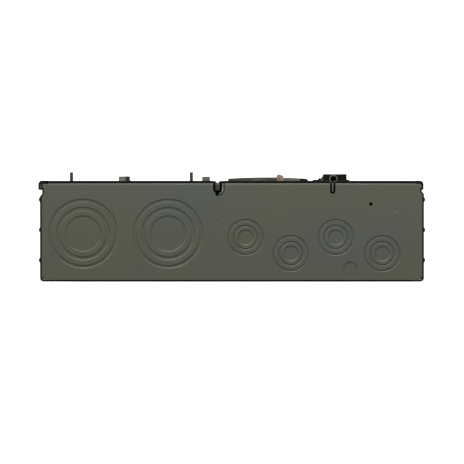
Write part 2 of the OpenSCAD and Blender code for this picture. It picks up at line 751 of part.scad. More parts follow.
// two plain steel posts that hold the cover off the interior
module cover_posts() {
    top = box_d + post_proud;
    z = neutral_z1 - 6;
    color([0.42, 0.42, 0.42]) {
        bar_y(post_outer_x, z, sheet_t, top, post_r);
        bar_y(post_outer_x, z, sheet_t, sheet_t + 4, 5);
        bar_y(post_inner_x, z, pan_top, top, post_r);
        bar_y(post_inner_x, z, pan_top, pan_top + 4, 5);
    }
}

// bracket that holds the back-fed main breaker down; its arm enters the breaker's inner end
hold_x0 = 21.8;
hold_x1 = 29.6;
hold_t = 2.4;
hold_half = 7;
hold_z = main_z1 - pitch;
hold_arm_v = 40;
hold_top = box_d + main_proud + 1.2;
hold_head = 7.5;
hold_foot_x = insulator_half + 0.6;
hold_screw_x = hold_foot_x + 9;

module main_hold_down() {
    z0 = hold_z - hold_half;
    z1 = hold_z + hold_half;
    step = seat_d + 8;
    color(copper) difference() {
        union() {
            slab(hold_foot_x, hold_foot_x + 14, pan_top, pan_top + hold_t, z0, z1);
            slab(hold_foot_x, hold_foot_x + hold_t, pan_top, step, z0, z1);
            slab(hold_x1 - hold_t, hold_foot_x + hold_t, step - hold_t, step, z0, z1);
            slab(hold_x1 - hold_t, hold_x1, step - hold_t, hold_top, z0, z1);
            slab(hold_x0, hold_x1, hold_top - hold_head, hold_top, z0, z1);
            slab(case_over - 3.2, hold_x1 - 1, seat_d + hold_arm_v, seat_d + hold_arm_v + hold_t, z0, z1);
        }
        bar_y(hold_screw_x, hold_z, pan_top - 1, pan_top + hold_t + 1, 2.3);
    }
}

module hold_down_screw()
    color(zinc) screw(hold_screw_x, hold_z, pan_low - 2, pan_top + hold_t, 2, 3.8, 2.4);

// ---- main breaker ----
// Its pieces are laid out in (u, v): u runs outward from the inner end, v rises from the seat.
// Pole a is the upper one. Each pole fills one pitch along z.

function pole_z(k) = main_z1 - (k + 1) * pitch;
pole_mid = pitch / 2;
base_w = 16;
mech_low = 16;
mech_top = case_h - 4.5;
jaw_half = 4.5;
lug_u = 68;
lug_v = 26;
lug_bore_r = 4.2;
lug_block = 13.5;
arm_u = 44;
arm_v = 36;
arm_pin_r = 2.5;
arm_ratio = 0.4;
arm_l = 30;
arm_on = 201.5;
arm_off = arm_on - handle_throw * arm_ratio;
axle_r = 2.4;
hub_r = 9;
handle_w = 7.6;
tie_t = 1.1;
rivet_spots = [[3.3, 32], [3.2, 54], [case_l - 4.2, 45], [66, 8], [28, 8]];
case_rivet_r = 1.3;

// children drawn in (u, v) are extruded from z0 to z1 above the foot of pole k
module in_pole(k, z0, z1)
    translate([case_over, -seat_d, pole_z(k) + z0]) linear_extrude(z1 - z0) rotate(180) children();
module box_uv(u0, u1, v0, v1)
    translate([u0, v0]) square([u1 - u0, v1 - v0]);
module disc(u, v, r)
    translate([u, v]) circle(r);

// side view of the case: crowned top, rounded outer corner, notch for the hold-down
module case_outline() {
    chord = case_l - 3.5;
    top_r = (chord * chord / 4 + crown * crown) / (2 * crown);
    half_a = asin(chord / 2 / top_r);
    shoulder = case_h - crown;
    difference() {
        polygon(concat(
            [[2, 0], [case_l - 2, 0], [case_l, 2]],
            arc(case_l - 3.5, shoulder - 3.5, 3.5, 0, 90),
            arc(chord / 2, case_h - top_r, top_r, 90 - half_a, 90 + half_a, 16),
            [[0, 2]]));
        box_uv(-1, 4.2, hold_arm_v - 1, hold_arm_v + hold_t + 1);
        box_uv(case_over + rail_x - 1.8, case_over + rail_x + 0.6, -1, 4.2);
    }
}

module mechanism_room() {
    box_uv(6.4, 58, mech_low, mech_top);
    box_uv(57, 62, 44, mech_top);
    box_uv(57, 60, mech_low, mech_low + 3.2);
    box_uv(59.5, case_l - case_wall, mech_low, 35);
}

// a shell of pole k between z0 and z1, hollow above room0 and below room1
module case_shell(k, z0, z1, room0, room1) {
    foot = pole_z(k);
    u_x = case_over;
    difference() {
        in_pole(k, z0, z1) case_outline();
        in_pole(k, room0, room1) mechanism_room();
        // blade slot and line jaw room, open below and at the inner end
        in_pole(k, pole_mid - jaw_half, pole_mid + jaw_half) box_uv(-1, 17, -1, mech_low + 0.1);
        // opening for the handle
        in_pole(k, pole_mid - handle_w / 2 - part_gap, pole_mid + handle_w / 2 + part_gap)
            box_uv(pivot_u - 8.6, pivot_u + 8.6, mech_top - 1, case_h + 1);
        // axle bearings
        in_pole(k, 0.8, pitch - 0.8) disc(pivot_u, pivot_h, axle_r + pin_gap);
        // wire way and screw way of the lug
        bar_x(u_x - case_l - 1, u_x - case_l + case_wall + 1, seat_d + lug_v,
              foot + pole_mid, lug_bore_r + 0.4);
        bar_y(u_x - lug_u, foot + pole_mid, seat_d + 34, seat_d + case_h + 1, 4);
        for (s = rivet_spots)
            in_pole(k, -1, pitch + 1) disc(s[0], s[1], case_rivet_r);
    }
}

module pole_base(k) color(black) {
    case_shell(k, 0, base_w, case_wall, pitch - case_wall);
    // pin for the contact arm
    in_pole(k, case_wall - 0.01, base_w) disc(arm_u, arm_v, arm_pin_r);
}
module pole_cover(k) color(black)
    case_shell(k, base_w, pitch, case_wall, pitch - case_wall);

module pole_a_base() pole_base(0);
module pole_a_cover() pole_cover(0);
module pole_b_base() pole_base(1);
module pole_b_cover() pole_cover(1);

// rivets along both poles, sunk at each end
module case_rivets()
    color(zinc) for (s = rivet_spots)
        in_pole(1, 0.4, 2 * pitch - 0.4) disc(s[0], s[1], case_rivet_r - 0.02);

// a figure drawn upright at the handle pivot, leaned to the off position
module at_pivot()
    translate([pivot_u, pivot_h]) rotate(-handle_lean) children();

module handle(k) color([0.62, 0.53, 0.4]) {
    tip = handle_l - tie_t;
    in_pole(k, pole_mid - handle_w / 2, pole_mid + handle_w / 2) at_pivot() {
        circle(hub_r);
        polygon([[-3.2, 0], [3.2, 0], [2.7, tip], [-2.7, tip]]);
    }
    in_pole(k, 1.1, pitch - 1.1) at_pivot() circle(axle_r);
}
module pole_a_handle() handle(0);
module pole_b_handle() handle(1);

// bar across both handle tips with a finger groove along it, and a cheek beside the upper pole
// that stands upright while the breaker is off
module handle_tie() {
    cheek_z = 2 * pitch + part_gap;
    cheek_t = 1.4;
    grip_w = 5.4;
    groove = 1.2;
    tip = [pivot_u + handle_l * sin(handle_lean), pivot_h + handle_l * cos(handle_lean)];
    color([0.62, 0.53, 0.4]) difference() {
        union() {
            in_pole(1, pole_mid - handle_w / 2, cheek_z + cheek_t) at_pivot()
                translate([-grip_w / 2, handle_l - tie_t]) square([grip_w, tie_t]);
            in_pole(1, cheek_z, cheek_z + cheek_t) translate(tip)
                polygon([[-3.3, -9.5], [3.3, -9.5], [3.3, -3.2], [1.9, -0.1], [-1.9, -0.1], [-3.3, -3.2]]);
        }
        in_pole(1, pole_mid + handle_w / 2, pole_mid + pitch - handle_w / 2) at_pivot()
            translate([-groove / 2, handle_l - 0.7]) square([groove, 2]);
        // slot down the cheek
        in_pole(1, cheek_z + cheek_t / 2, cheek_z + cheek_t + 1) translate(tip)
            box_uv(-1.5, 0, -10, -3.4);
    }
}

// moving contact: hub on the pin, tapered arm and a contact pad, drawn open
module contact_arm(k)
    color(copper) in_pole(k, pole_mid - 1.2, pole_mid + 1.2)
        translate([arm_u, arm_v]) rotate(arm_off) difference() {
            union() {
                circle(5);
                polygon([[0, -4], [arm_l - 4, -2.2], [arm_l + 2.4, -2.2], [arm_l + 2.4, 2.2], [0, 4]]);
                // the pad is on the side that meets the fixed contact
                polygon([[arm_l - 3, 2], [arm_l + 2, 2], [arm_l + 2, 3.6], [arm_l - 3, 3.6]]);
            }
            circle(arm_pin_r + pin_gap);
        }
module pole_a_contact_arm() contact_arm(0);
module pole_b_contact_arm() contact_arm(1);

// line jaw that grips the stab, with the strap and pad of the fixed contact
module line_jaw(k)
    color(copper) {
        blade_top = bus_top + 14 - seat_d;
        for (s = [-1, 1])
            in_pole(k, pole_mid + s * (stab_t / 2 + 0.65) - 0.6, pole_mid + s * (stab_t / 2 + 0.65) + 0.6)
                box_uv(3, 15, 3, blade_top + 1);
        in_pole(k, pole_mid - stab_t / 2 - 1.25, pole_mid + stab_t / 2 + 1.25) {
            box_uv(3, 15, blade_top + 0.8, blade_top + 2);
            box_uv(12.5, 15, blade_top + 1, 19);
            box_uv(11, 19, 18, 20);
            box_uv(12, 18, 20, 20.6);
        }
    }
module pole_a_line_jaw() line_jaw(0);
module pole_b_line_jaw() line_jaw(1);

// stack of arc plates between two cheeks, beyond the tip of the arm
module arc_chute(k)
    color(zinc) {
        for (v = [24:2.4:38])
            in_pole(k, pole_mid - 6, pole_mid + 6) box_uv(6.6, 10.7, v, v + 0.9);
        for (s = [-1, 1])
            in_pole(k, pole_mid + s * 6.3 - 0.5, pole_mid + s * 6.3 + 0.5) box_uv(6.6, 10.7, 23, 38);
    }
module pole_a_arc_chute() arc_chute(0);
module pole_b_arc_chute() arc_chute(1);

// terminal strip under the lug, turned up into the bimetal
module bimetal(k)
    color(copper) in_pole(k, pole_mid - 4, pole_mid + 4) {
        box_uv(55.4, case_l - 4, mech_low + 0.4, mech_low + 2.4);
        box_uv(55.4, 56.6, mech_low + 1, 43);
    }
module pole_a_bimetal() bimetal(0);
module pole_b_bimetal() bimetal(1);

module load_lug(k) {
    x = case_over - lug_u;
    z = pole_z(k) + pole_mid;
    color(tin) difference() {
        slab(x - lug_block / 2, x + lug_block / 2, seat_d + mech_low + 2.4, seat_d + 34.6,
             z - lug_block / 2, z + lug_block / 2);
        bar_x(x - lug_block, x + lug_block, seat_d + lug_v, z, lug_bore_r);
        bar_y(x, z, seat_d + lug_v, seat_d + 36, 3.05);
    }
}
module pole_a_lug() load_lug(0);
module pole_b_lug() load_lug(1);

// socket-headed set screws, backed out clear of the wire bores
module lug_screws()
    color(zinc) for (k = [0, 1]) {
        z = pole_z(k) + pole_mid;
        x = case_over - lug_u;
        difference() {
            bar_y(x, z, seat_d + lug_v + lug_bore_r + 0.1, seat_d + 41, 3);
            bar_y(x, z, seat_d + 38, seat_d + 42, 1.6, $fn = 6);
        }
    }

// torsion spring around each arm pin
spring_r = 4.2;
spring_wire = 0.5;
spring_turns = 5;
spring_steps = 14;
spring_sides = 6;
module coil() {
    rise = 2.3 * spring_wire;
    count = spring_turns * spring_steps;
    points = [for (i = [0:count], j = [0:spring_sides - 1])
        let (a = 360 * i / spring_steps, b = 360 * j / spring_sides, r = spring_r + spring_wire * cos(b))
            [r * cos(a), r * sin(a), rise * i / spring_steps + spring_wire * sin(b)]];
    sides = [for (i = [0:count - 1], j = [0:spring_sides - 1])
        let (k = (j + 1) % spring_sides)
            [i * spring_sides + j, (i + 1) * spring_sides + j, (i + 1) * spring_sides + k,
                i * spring_sides + k]];
    first = [for (j = [0:spring_sides - 1]) j];
    last = [for (j = [spring_sides - 1:-1:0]) count * spring_sides + j];
    polyhedron(points, concat(sides, [first, last]), convexity = 6);
}
module arm_springs()
    color(zinc) for (k = [0, 1])
        translate([case_over - arm_u, -seat_d - arm_v, pole_z(k) + case_wall + 0.8]) coil();

box_wrap();
top_end_wall();
bottom_end_wall();
corner_rivets();
notch_cups();
interior_pan();
pan_screws();
breaker_rail_left();
breaker_rail_right();
bus_insulator();
bus_bar_a();
bus_bar_b();
bus_screws();
neutral_support_left();
neutral_support_right();
neutral_bar_left();
neutral_bar_right();
neutral_screws_left();
neutral_screws_right();
neutral_end_lug();
end_lug_screw();
neutral_cross_strap();
strap_insulator();
strap_bolts();
bonding_screw();
neutral_lug();
neutral_lug_screw();
neutral_lug_cover();
cover_posts();
main_hold_down();
hold_down_screw();
pole_a_base();
pole_a_cover();
pole_b_base();
pole_b_cover();
case_rivets();
pole_a_handle();
pole_b_handle();
handle_tie();
pole_a_contact_arm();
pole_b_contact_arm();
pole_a_line_jaw();
pole_b_line_jaw();
pole_a_arc_chute();
pole_b_arc_chute();
pole_a_bimetal();
pole_b_bimetal();
pole_a_lug();
pole_b_lug();
lug_screws();
arm_springs();
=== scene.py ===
"""Residential load center: finishes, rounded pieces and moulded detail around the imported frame."""

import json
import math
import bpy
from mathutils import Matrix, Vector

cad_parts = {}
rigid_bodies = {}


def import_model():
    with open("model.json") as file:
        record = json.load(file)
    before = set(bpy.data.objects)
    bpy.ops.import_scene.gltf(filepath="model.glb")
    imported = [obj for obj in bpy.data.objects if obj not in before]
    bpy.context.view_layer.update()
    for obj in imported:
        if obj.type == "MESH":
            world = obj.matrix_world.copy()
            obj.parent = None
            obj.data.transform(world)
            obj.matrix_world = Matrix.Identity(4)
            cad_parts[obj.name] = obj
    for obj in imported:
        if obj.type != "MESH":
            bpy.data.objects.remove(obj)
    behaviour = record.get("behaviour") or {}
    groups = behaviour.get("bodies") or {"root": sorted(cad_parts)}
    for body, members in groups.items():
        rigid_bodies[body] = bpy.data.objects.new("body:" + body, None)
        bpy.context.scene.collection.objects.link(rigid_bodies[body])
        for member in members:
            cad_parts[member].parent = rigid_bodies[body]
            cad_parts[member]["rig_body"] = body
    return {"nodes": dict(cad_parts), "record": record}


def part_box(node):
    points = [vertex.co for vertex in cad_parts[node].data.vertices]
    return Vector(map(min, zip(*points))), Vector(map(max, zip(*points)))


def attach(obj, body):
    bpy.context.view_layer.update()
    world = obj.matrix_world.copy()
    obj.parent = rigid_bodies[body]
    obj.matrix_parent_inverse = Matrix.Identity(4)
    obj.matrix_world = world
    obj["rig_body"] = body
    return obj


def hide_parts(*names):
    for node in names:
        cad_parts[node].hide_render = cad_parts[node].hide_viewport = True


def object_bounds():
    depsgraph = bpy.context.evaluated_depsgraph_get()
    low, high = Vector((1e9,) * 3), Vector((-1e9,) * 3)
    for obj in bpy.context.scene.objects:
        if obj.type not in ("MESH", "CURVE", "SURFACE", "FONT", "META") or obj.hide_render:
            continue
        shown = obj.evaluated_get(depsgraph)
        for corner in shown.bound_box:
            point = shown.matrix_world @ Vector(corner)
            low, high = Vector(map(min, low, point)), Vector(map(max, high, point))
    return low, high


bl_info = {
    "name": "Residential Load Center",
    "version": (1, 0, 0),
    "blender": (4, 5, 0),
    "location": "View3D > Sidebar > Load Center",
    "description": "Builds the visible pieces and finishes of a residential load center",
    "category": "Object",
}

import bmesh
import bpy
from mathutils import Vector

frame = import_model()
CAD_LOW, CAD_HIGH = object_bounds()
MM = 0.001
NODES = frame["nodes"]
WALL_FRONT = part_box("top_end_wall")[0].y
HALF_WIDTH = 181 * MM
# width over which one painted zone passes into the next
FADE = 0.2 * MM
# knockouts of the top end wall: x, depth and the radii of their slopes; and how wide a slope is
LARGE = [radius * MM for radius in (33.1, 29.3, 25.4, 21.2, 17.3)]
SMALL = [radius * MM for radius in (17.45, 15.1, 12.15, 9.8, 7.4)]
KNOCKOUTS = (
    (140.4 * MM, 45.4 * MM, LARGE), (60.2 * MM, 45.4 * MM, LARGE),
    (-12.7 * MM, 41.8 * MM, SMALL), (-55.5 * MM, 26.7 * MM, SMALL),
    (-97.8 * MM, 41.8 * MM, SMALL), (-141.6 * MM, 26.5 * MM, SMALL),
)
SLOPE = 0.9 * MM
# place of the pilot hole on an end wall
PILOT_X = 130.9 * MM
PILOT_DEPTH = 73.2 * MM
# middle and half width of the strip between the front notch of the top end wall and the slit beside it
STRIP_X = 8.65 * MM
STRIP_HALF = 0.8 * MM
# how far in from a side wall the painted shade reaches at a front corner, and at a back corner
FRONT_CORNER_SHADE = 2.7 * MM
BACK_CORNER_SHADE = 3.4 * MM
# how far the camera stands from the middle of the depth, towards the wall
CAMERA_SHIFT = 0.77 * MM
# the two soft lights: where they stand and how wide they are
KEY_PLACE = (0.35, -2.3, 1.5)
KEY_SIZE = 0.9
FILL_PLACE = (-1.6, 0.8, 2.4)
FILL_SIZE = 1.8


# ---------------------------------------------------------------- settings


class LoadCenterFinish(bpy.types.PropertyGroup):
    """Colours of the finishes."""

    paint: bpy.props.FloatVectorProperty(
        name="Enclosure paint", description="Base colour of the enclosure paint",
        subtype="COLOR", size=3, min=0, max=1, default=(0.106, 0.108, 0.069),
    )
    paint_light: bpy.props.FloatVectorProperty(
        name="Paint, thin", description="Colour where the paint lies thinner",
        subtype="COLOR", size=3, min=0, max=1, default=(0.092, 0.105, 0.090),
    )
    moulding: bpy.props.FloatVectorProperty(
        name="Insulators", description="Colour of the moulded insulators",
        subtype="COLOR", size=3, min=0, max=1, default=(0.018, 0.018, 0.020),
    )
    breaker: bpy.props.FloatVectorProperty(
        name="Breaker case", description="Colour of the breaker's moulded case",
        subtype="COLOR", size=3, min=0, max=1, default=(0.036, 0.036, 0.034),
    )
    handle: bpy.props.FloatVectorProperty(
        name="Handle", description="Colour of the breaker handles",
        subtype="COLOR", size=3, min=0, max=1, default=(0.36, 0.285, 0.215),
    )
    copper: bpy.props.FloatVectorProperty(
        name="Copper", description="Colour of bare copper",
        subtype="COLOR", size=3, min=0, max=1, default=(0.68, 0.33, 0.20),
    )
    tin: bpy.props.FloatVectorProperty(
        name="Tin plate", description="Colour of the plated bars and lugs",
        subtype="COLOR", size=3, min=0, max=1, default=(0.60, 0.58, 0.55),
    )
    zinc: bpy.props.FloatVectorProperty(
        name="Zinc", description="Colour of zinc-plated and galvanised steel",
        subtype="COLOR", size=3, min=0, max=1, default=(0.50, 0.51, 0.53),
    )


class LoadCenterSizes(bpy.types.PropertyGroup):
    """Sizes of the rounded edges and moulded detail."""

    sheet_edge: bpy.props.FloatProperty(
        name="Sheet edge", description="Rounding along cut edges of the steel sheet",
        unit="LENGTH", min=0, max=0.001, default=0.0002, precision=5,
    )
    moulded_edge: bpy.props.FloatProperty(
        name="Moulded edge", description="Rounding along edges of moulded pieces",
        unit="LENGTH", min=0, max=0.002, default=0.0006, precision=5,
    )
    metal_edge: bpy.props.FloatProperty(
        name="Metal edge", description="Rounding along edges of bars, lugs and screws",
        unit="LENGTH", min=0, max=0.001, default=0.00025, precision=5,
    )


class LoadCenterStage(bpy.types.PropertyGroup):
    """Camera and light."""

    camera_distance: bpy.props.FloatProperty(
        name="Camera distance", description="Distance from the camera to the top end wall",
        unit="LENGTH", min=0.5, max=10, default=2.46,
    )
    frame_width: bpy.props.FloatProperty(
        name="Frame width", description="Width that the camera takes in at the top end wall",
        unit="LENGTH", min=0.1, max=2, default=0.4373,
    )
    key_power: bpy.props.FloatProperty(
        name="Key light", description="Power of the key light", unit="POWER", min=0, max=1000, default=60,
    )
    fill_power: bpy.props.FloatProperty(
        name="Fill light", description="Power of the fill light", unit="POWER", min=0, max=1000, default=12,
    )
    sky: bpy.props.FloatProperty(
        name="Sky", description="Strength of the even surrounding light", min=0, max=5, default=0.35,
    )


def finish_settings():
    return bpy.context.scene.load_center_finish


def sizes():
    return bpy.context.scene.load_center_sizes


# ---------------------------------------------------------------- node helpers


def start_material(name):
    """A new node material; returns it with its tree, shader and object coordinates."""
    material = bpy.data.materials.new(name)
    material.use_nodes = True
    tree = material.node_tree
    shader = tree.nodes["Principled BSDF"]
    place = tree.nodes.new("ShaderNodeTexCoord")
    return material, tree, shader, place.outputs["Object"]


def noise(tree, vector, scale, detail=4.0, roughness=0.55):
    node = tree.nodes.new("ShaderNodeTexNoise")
    node.inputs["Scale"].default_value = scale
    node.inputs["Detail"].default_value = detail
    node.inputs["Roughness"].default_value = roughness
    tree.links.new(vector, node.inputs["Vector"])
    return node.outputs["Fac"]


def stretched(tree, vector, scale):
    """The coordinates scaled by a different amount along each axis."""
    node = tree.nodes.new("ShaderNodeMapping")
    node.inputs["Scale"].default_value = scale
    tree.links.new(vector, node.inputs["Vector"])
    return node.outputs["Vector"]


def cells(tree, vector, scale, output="Color"):
    node = tree.nodes.new("ShaderNodeTexVoronoi")
    node.inputs["Scale"].default_value = scale
    tree.links.new(vector, node.inputs["Vector"])
    return node.outputs[output]


def graded(tree, value, low, high, to_low=0.0, to_high=1.0):
    """The value remapped from one range to another, held at the ends."""
    node = tree.nodes.new("ShaderNodeMapRange")
    node.inputs["From Min"].default_value = low
    node.inputs["From Max"].default_value = high
    node.inputs["To Min"].default_value = to_low
    node.inputs["To Max"].default_value = to_high
    tree.links.new(value, node.inputs["Value"])
    return node.outputs["Result"]


def maths(tree, operation, first, second):
    node = tree.nodes.new("ShaderNodeMath")
    node.operation = operation
    for socket, value in zip(node.inputs, (first, second)):
        if isinstance(value, (int, float)):
            socket.default_value = value
        else:
            tree.links.new(value, socket)
    return node.outputs["Value"]


def mixed(tree, factor, first, second, blend="MIX"):
    """Two colours mixed by a factor; a colour may be a tuple or a socket."""
    node = tree.nodes.new("ShaderNodeMix")
    node.data_type = "RGBA"
    node.blend_type = blend
    for name, value in (("Factor", factor), ("A", first), ("B", second)):
        socket = next(s for s in node.inputs if s.name == name and s.enabled)
        if isinstance(value, (int, float)):
            socket.default_value = value
        elif isinstance(value, bpy.types.NodeSocket):
            tree.links.new(value, socket)
        else:
            socket.default_value = (*value, 1.0)
    return next(s for s in node.outputs if s.enabled)


def split(tree, vector):
    node = tree.nodes.new("ShaderNodeSeparateXYZ")
    tree.links.new(vector, node.inputs[0])
    return node.outputs


def set_colour(tree, shader, colour):
    tree.links.new(colour, shader.inputs["Base Color"])


def set_roughness(tree, shader, value):
    tree.links.new(value, shader.inputs["Roughness"])


def add_bump(tree, shader, height, strength, distance):
    node = tree.nodes.new("ShaderNodeBump")
    node.inputs["Strength"].default_value = strength
    node.inputs["Distance"].default_value = distance
    tree.links.new(height, node.inputs["Height"])
    tree.links.new(node.outputs["Normal"], shader.inputs["Normal"])
    return node


def shaded(colour, amount):
    return tuple(min(1.0, max(0.0, c * amount)) for c in colour)


# ---------------------------------------------------------------- finishes


def painted_ring_highlight(tree, place):
    """Painted highlight on the knockout slopes that face the front light: how strongly it lies at each point."""
    x, y, z = split(tree, place)
    across = maths(tree, "MULTIPLY", x, maths(tree, "SIGN", z, 0.0))
    sheen = 0.0
    for spot_x, depth, radii in KNOCKOUTS:
        dx = maths(tree, "SUBTRACT", across, spot_x)
        dy = maths(tree, "ADD", y, depth)
        away = maths(tree, "SQRT", maths(tree, "ADD", maths(tree, "MULTIPLY", dx, dx),
                                         maths(tree, "MULTIPLY", dy, dy)), 0.0)
        lean = maths(tree, "DIVIDE", maths(tree, "SUBTRACT", maths(tree, "MULTIPLY", dx, 0.45), dy), away)
        front = graded(tree, lean, 0.35, 1.0)
        rear = graded(tree, lean, -0.35, -1.0)
        for count, radius in enumerate(radii):
            middle = radius + (SLOPE if count % 2 else -SLOPE) / 2
            off = maths(tree, "ABSOLUTE", maths(tree, "SUBTRACT", away, middle), 0.0)
            line = graded(tree, off, SLOPE * 0.75, SLOPE * 0.25)
            sheen = maths(tree, "MAXIMUM", sheen, maths(tree, "MULTIPLY", line, front if count % 2 else rear))
    return sheen


def enclosure_paint():
    """Baked enamel over steel: fine orange peel, faint cloudiness, a little darker towards the back; painted
    highlights on the front bend, the knockout slopes and the notch strip, painted shade in the corners.
    """
    material, tree, shader, place = start_material("enclosure_paint")
    look = finish_settings()
    cloud = graded(tree, noise(tree, place, 14.0, 3.0), 0.36, 0.64)
    fine = graded(tree, noise(tree, place, 900.0, 3.0), 0.3, 0.7)
    colour = mixed(tree, cloud, look.paint, look.paint_light)
    colour = mixed(tree, maths(tree, "MULTIPLY", fine, 0.10), colour, shaded(look.paint, 1.5))
    depth = split(tree, place)[1]
    # the colour darkens towards the back
    duller = graded(tree, depth, CAD_LOW.y, 0.0, 0.0, 0.30)
    colour = mixed(tree, duller, colour, shaded(look.paint, 0.6))
    # painted highlight along the start of the front bend, where the bend catches the light
    front = WALL_FRONT
    bend_highlight = maths(tree, "MULTIPLY", graded(tree, depth, front + 4.3 * MM, front + 3.5 * MM),
                     graded(tree, depth, front + 2.0 * MM, front + 2.4 * MM))
    colour = mixed(tree, bend_highlight, colour, (0.165, 0.17, 0.14))
    # painted highlight on the knockout slopes that face the front light
    colour = mixed(tree, maths(tree, "MULTIPLY", painted_ring_highlight(tree, place), 0.45), colour, (0.22, 0.225, 0.19))
    # painted highlight on the strip between the front notch and the slit beside it
    across = split(tree, place)[0]
    # mask of the painted highlight on the strip
    rubbed = maths(tree, "MULTIPLY", graded(tree, across, STRIP_X - STRIP_HALF, STRIP_X - STRIP_HALF + FADE),
                   graded(tree, across, STRIP_X + STRIP_HALF, STRIP_X + STRIP_HALF - FADE))
    rubbed = maths(tree, "MULTIPLY", rubbed, graded(tree, depth, front + 11.5 * MM, front + 10.5 * MM))
    rubbed = maths(tree, "MULTIPLY", rubbed, graded(tree, depth, front + 4.0 * MM, front + 10.0 * MM, 0.12, 1.0))
    colour = mixed(tree, rubbed, colour, (0.30, 0.31, 0.28))
    # painted shade: black on the outer corners of the front, in the corner strip's gap and in the back corners
    side = maths(tree, "ABSOLUTE", across, 0.0)
    outer = graded(tree, side, HALF_WIDTH - FRONT_CORNER_SHADE, HALF_WIDTH - FRONT_CORNER_SHADE + 0.3 * MM)
    corner = maths(tree, "MULTIPLY", outer, graded(tree, depth, front + 8.2 * MM, front + 7.9 * MM))
    gap = maths(tree, "MULTIPLY", graded(tree, side, HALF_WIDTH - 9.4 * MM, HALF_WIDTH - 9.0 * MM),
                graded(tree, maths(tree, "ABSOLUTE", maths(tree, "SUBTRACT", depth, front + 2.2 * MM), 0.0),
                       0.5 * MM, 0.3 * MM))
    back = maths(tree, "MULTIPLY", graded(tree, side, HALF_WIDTH - BACK_CORNER_SHADE, HALF_WIDTH - BACK_CORNER_SHADE + FADE),
                 graded(tree, depth, -BACK_CORNER_SHADE, -BACK_CORNER_SHADE + FADE))
    inside = maths(tree, "MULTIPLY", graded(tree, side, HALF_WIDTH - 1.2 * MM, HALF_WIDTH - 1.3 * MM),
                   graded(tree, depth, -1.2 * MM, -1.3 * MM))
    end = maths(tree, "ABSOLUTE", split(tree, place)[2], 0.0)
    near_end = graded(tree, end, CAD_HIGH.z - 26 * MM, CAD_HIGH.z - 24 * MM)
    # mask of the painted shade in the corners and the gap
    scale = maths(tree, "MAXIMUM", maths(tree, "MAXIMUM", corner, gap), maths(tree, "MULTIPLY", back, inside))
    colour = mixed(tree, maths(tree, "MULTIPLY", scale, near_end), colour, (0.004, 0.004, 0.004))
    set_colour(tree, shader, colour)
    set_roughness(tree, shader, graded(tree, noise(tree, place, 60.0, 4.0), 0.3, 0.7, 0.40, 0.52))
    shader.inputs["Specular IOR Level"].default_value = 0.35
    add_bump(tree, shader, noise(tree, place, 1100.0, 2.0), 0.10, 0.0004)
    return material


def dark_edge():
    """Painted shade on cut sheet edges, in the notch cups and in the pilot hole, and a painted dark reflection
    on the tight front bends: near-black, with hardly any shine.
    """
    material, tree, shader, place = start_material("dark_edge")
    # mottle of the near-black painted shade
    scale = graded(tree, noise(tree, place, 800.0, 3.0), 0.4, 0.7)
    set_colour(tree, shader, mixed(tree, scale, (0.0025, 0.0025, 0.0022), (0.006, 0.006, 0.005)))
    set_roughness(tree, shader, graded(tree, scale, 0.0, 1.0, 0.75, 0.9))
    shader.inputs["Specular IOR Level"].default_value = 0.05
    add_bump(tree, shader, scale, 0.1, 0.0002)
    return material


def galvanised():
    """Hot-dip galvanised sheet with spangle and rolling streaks."""
    material, tree, shader, place = start_material("galvanised_sheet")
    zinc = finish_settings().zinc
    spangle = split(tree, cells(tree, place, 160.0))[0]
    streaks = noise(tree, stretched(tree, place, (900.0, 900.0, 30.0)), 1.0, 3.0)
    colour = mixed(tree, graded(tree, spangle, 0.1, 0.9), shaded(zinc, 0.80), shaded(zinc, 1.12))
    colour = mixed(tree, maths(tree, "MULTIPLY", streaks, 0.3), colour, shaded(zinc, 0.65))
    set_colour(tree, shader, colour)
    shader.inputs["Metallic"].default_value = 0.9
    set_roughness(tree, shader, graded(tree, spangle, 0.0, 1.0, 0.30, 0.46))
    add_bump(tree, shader, streaks, 0.06, 0.0003)
    return material


def bright_zinc():
    """Clear zinc plate on screws and small steel pieces, dulled in patches."""
    material, tree, shader, place = start_material("bright_zinc")
    zinc = finish_settings().zinc
    patch = graded(tree, noise(tree, place, 420.0, 5.0), 0.35, 0.68)
    set_colour(tree, shader, mixed(tree, patch, shaded(zinc, 1.1), shaded(zinc, 0.58)))
    shader.inputs["Metallic"].default_value = 0.95
    set_roughness(tree, shader, graded(tree, patch, 0.0, 1.0, 0.22, 0.42))
    add_bump(tree, shader, noise(tree, place, 2500.0, 2.0), 0.12, 0.0002)
    return material


def tin_plate():
    """Tin-plated aluminium, drawn along its length with fine scratches and a warm bloom."""
    material, tree, shader, place = start_material("tin_plate")
    tin = finish_settings().tin
    drawn = noise(tree, stretched(tree, place, (2600.0, 2600.0, 60.0)), 1.0, 4.0)
    bloom = graded(tree, noise(tree, place, 130.0, 4.0), 0.42, 0.72)
    colour = mixed(tree, graded(tree, drawn, 0.3, 0.7), shaded(tin, 0.86), shaded(tin, 1.12))
    colour = mixed(tree, maths(tree, "MULTIPLY", bloom, 0.35), colour, (0.42, 0.36, 0.29))
    set_colour(tree, shader, colour)
    shader.inputs["Metallic"].default_value = 0.92
    set_roughness(tree, shader, graded(tree, drawn, 0.2, 0.8, 0.26, 0.44))
    add_bump(tree, shader, drawn, 0.10, 0.0002)
    return material


def bare_copper():
    """Rolled copper, tarnished in soft patches."""
    material, tree, shader, place = start_material("bare_copper")
    copper = finish_settings().copper
    tarnish = graded(tree, noise(tree, place, 190.0, 5.0), 0.38, 0.7)
    set_colour(tree, shader, mixed(tree, tarnish, copper, shaded(copper, 0.45)))
    shader.inputs["Metallic"].default_value = 1.0
    set_roughness(tree, shader, graded(tree, tarnish, 0.0, 1.0, 0.24, 0.5))
    add_bump(tree, shader, noise(tree, stretched(tree, place, (1800.0, 1800.0, 90.0)), 1.0, 3.0), 0.1, 0.0002)
    return material


